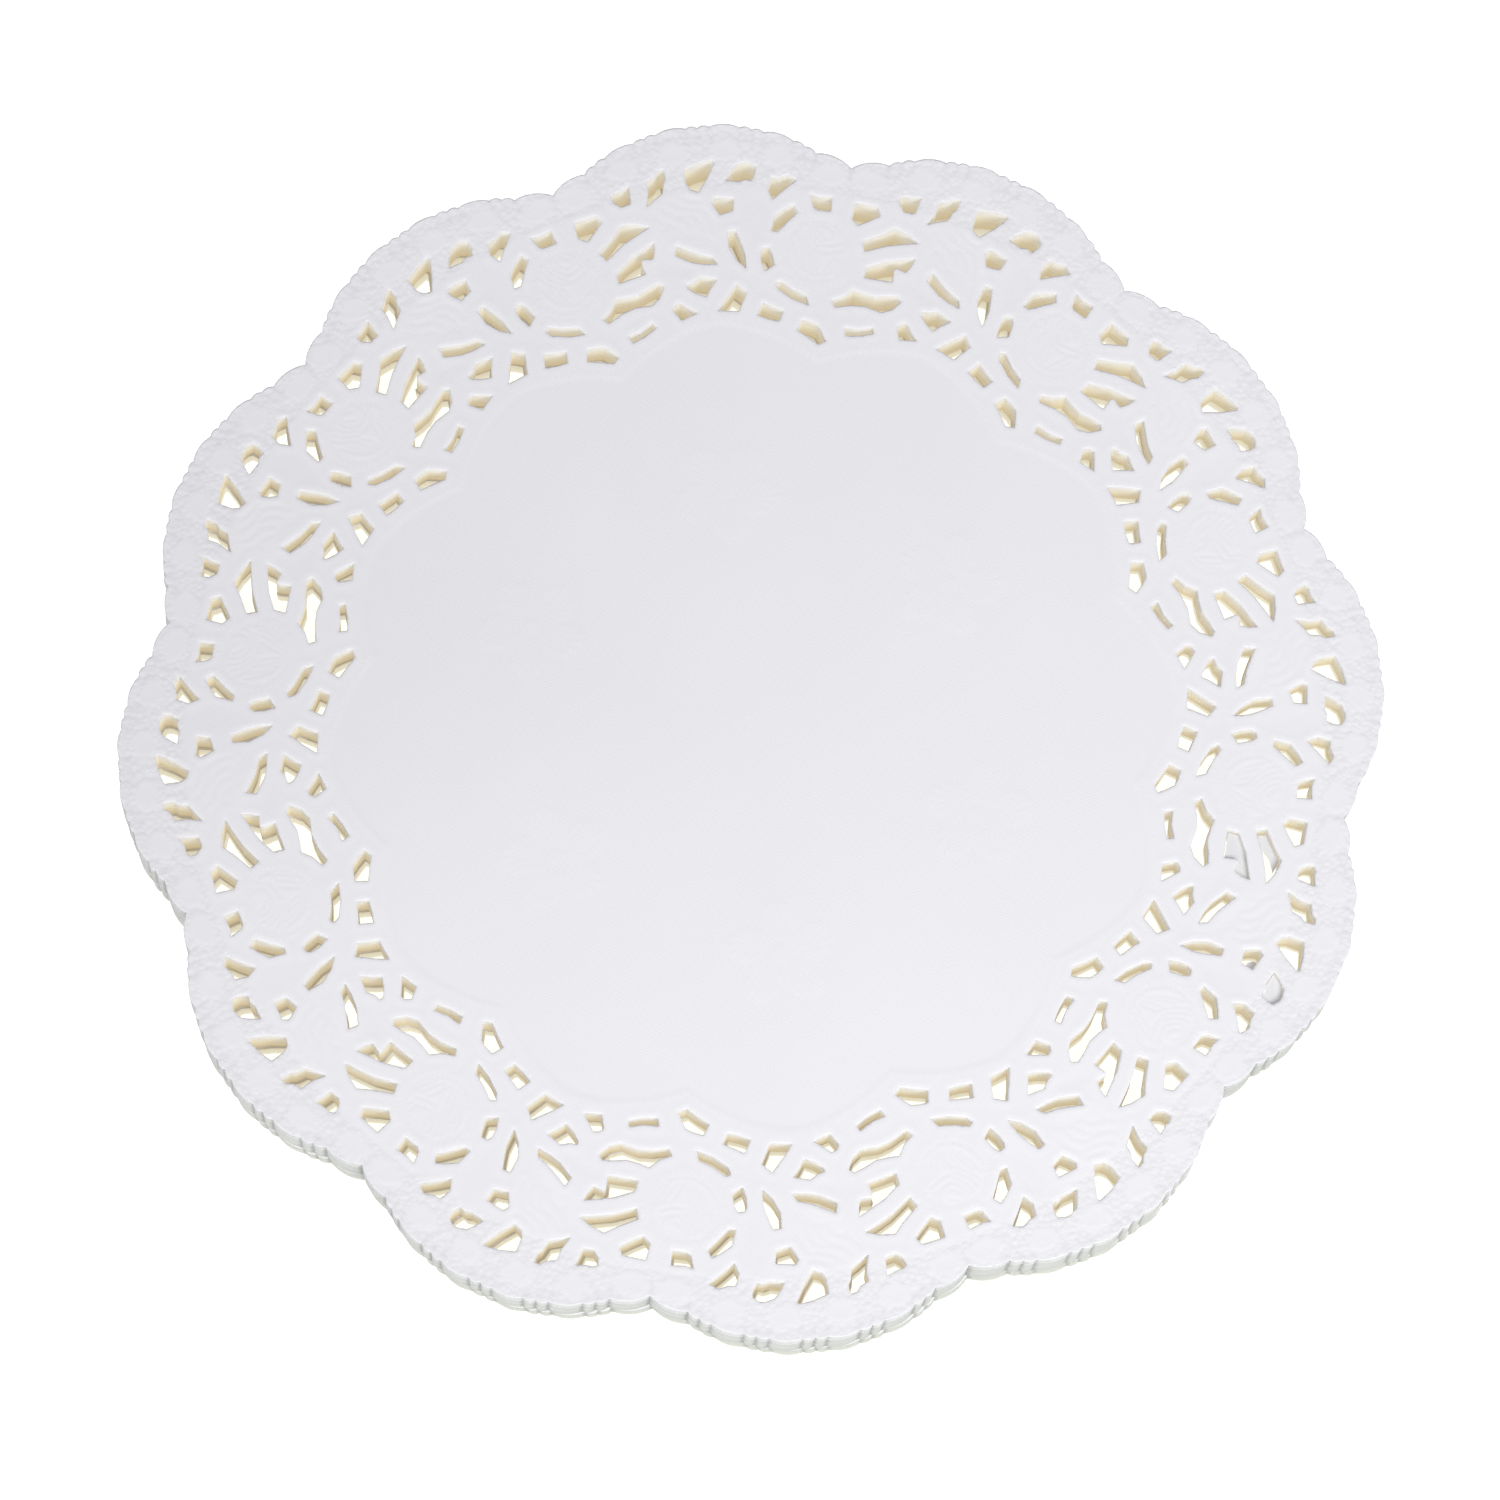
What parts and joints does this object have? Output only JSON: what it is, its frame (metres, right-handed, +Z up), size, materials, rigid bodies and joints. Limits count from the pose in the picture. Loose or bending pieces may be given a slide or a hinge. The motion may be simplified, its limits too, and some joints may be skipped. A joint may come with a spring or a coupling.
{
  "type": "paper doily stack",
  "caption": "Pack of round white paper lace doilies with scalloped rims, lying flat in two slightly offset blocks; sheets lift off from the top.",
  "frame": {"origin": "middle of the flat face the pack rests on", "axes": "+Z up through the pack, at right angles to the sheets; +Y towards one of the twelve valleys between the large scallops"},
  "size_m": [0.2968, 0.2969, 0.012],
  "materials": {
    "paper": "matt embossed white paper"
  },
  "bodies": {
    "lower_book_1": {"lower_book_1": "paper"},
    "lower_book_2": {"lower_book_2": "paper"},
    "lower_book_3": {"lower_book_3": "paper"},
    "upper_book_1": {"upper_book_1": "paper"},
    "upper_book_2": {"upper_book_2": "paper"},
    "upper_book_3": {"upper_book_3": "paper"},
    "upper_book_4": {"upper_book_4": "paper"},
    "doily_01": {"doily_01": "paper"},
    "doily_02": {"doily_02": "paper"},
    "doily_03": {"doily_03": "paper"},
    "doily_04": {"doily_04": "paper"},
    "doily_05": {"doily_05": "paper"},
    "doily_06": {"doily_06": "paper"},
    "doily_07": {"doily_07": "paper"},
    "doily_08": {"doily_08": "paper"},
    "doily_09": {"doily_09": "paper"},
    "doily_10": {"doily_10": "paper"},
    "doily_11": {"doily_11": "paper"},
    "doily_12": {"doily_12": "paper"},
    "doily_13": {"doily_13": "paper"},
    "doily_14": {"doily_14": "paper"},
    "doily_15": {"doily_15": "paper"},
    "doily_16": {"doily_16": "paper"}
  },
  "joints": [
    {"name": "lower_book_2_lift", "type": "slide", "parent": "lower_book_1", "child": "lower_book_2", "axis": [0, 0, 1], "range_m": [0, 0.02]},
    {"name": "lower_book_3_lift", "type": "slide", "parent": "lower_book_2", "child": "lower_book_3", "axis": [0, 0, 1], "range_m": [0, 0.02]},
    {"name": "upper_book_1_lift", "type": "slide", "parent": "lower_book_3", "child": "upper_book_1", "axis": [0, 0, 1], "range_m": [0, 0.02]},
    {"name": "upper_book_2_lift", "type": "slide", "parent": "upper_book_1", "child": "upper_book_2", "axis": [0, 0, 1], "range_m": [0, 0.02]},
    {"name": "upper_book_3_lift", "type": "slide", "parent": "upper_book_2", "child": "upper_book_3", "axis": [0, 0, 1], "range_m": [0, 0.02]},
    {"name": "upper_book_4_lift", "type": "slide", "parent": "upper_book_3", "child": "upper_book_4", "axis": [0, 0, 1], "range_m": [0, 0.02]},
    {"name": "doily_01_lift", "type": "slide", "parent": "upper_book_4", "child": "doily_01", "axis": [0, 0, 1], "range_m": [0, 0.01]},
    {"name": "doily_02_lift", "type": "slide", "parent": "doily_01", "child": "doily_02", "axis": [0, 0, 1], "range_m": [0, 0.01]},
    {"name": "doily_03_lift", "type": "slide", "parent": "doily_02", "child": "doily_03", "axis": [0, 0, 1], "range_m": [0, 0.01]},
    {"name": "doily_04_lift", "type": "slide", "parent": "doily_03", "child": "doily_04", "axis": [0, 0, 1], "range_m": [0, 0.01]},
    {"name": "doily_05_lift", "type": "slide", "parent": "doily_04", "child": "doily_05", "axis": [0, 0, 1], "range_m": [0, 0.01]},
    {"name": "doily_06_lift", "type": "slide", "parent": "doily_05", "child": "doily_06", "axis": [0, 0, 1], "range_m": [0, 0.01]},
    {"name": "doily_07_lift", "type": "slide", "parent": "doily_06", "child": "doily_07", "axis": [0, 0, 1], "range_m": [0, 0.01]},
    {"name": "doily_08_lift", "type": "slide", "parent": "doily_07", "child": "doily_08", "axis": [0, 0, 1], "range_m": [0, 0.01]},
    {"name": "doily_09_lift", "type": "slide", "parent": "doily_08", "child": "doily_09", "axis": [0, 0, 1], "range_m": [0, 0.01]},
    {"name": "doily_10_lift", "type": "slide", "parent": "doily_09", "child": "doily_10", "axis": [0, 0, 1], "range_m": [0, 0.01]},
    {"name": "doily_11_lift", "type": "slide", "parent": "doily_10", "child": "doily_11", "axis": [0, 0, 1], "range_m": [0, 0.01]},
    {"name": "doily_12_lift", "type": "slide", "parent": "doily_11", "child": "doily_12", "axis": [0, 0, 1], "range_m": [0, 0.01]},
    {"name": "doily_13_lift", "type": "slide", "parent": "doily_12", "child": "doily_13", "axis": [0, 0, 1], "range_m": [0, 0.01]},
    {"name": "doily_14_lift", "type": "slide", "parent": "doily_13", "child": "doily_14", "axis": [0, 0, 1], "range_m": [0, 0.01]},
    {"name": "doily_15_lift", "type": "slide", "parent": "doily_14", "child": "doily_15", "axis": [0, 0, 1], "range_m": [0, 0.01]},
    {"name": "doily_16_lift", "type": "slide", "parent": "doily_15", "child": "doily_16", "axis": [0, 0, 1], "range_m": [0, 0.01]}
  ]
}
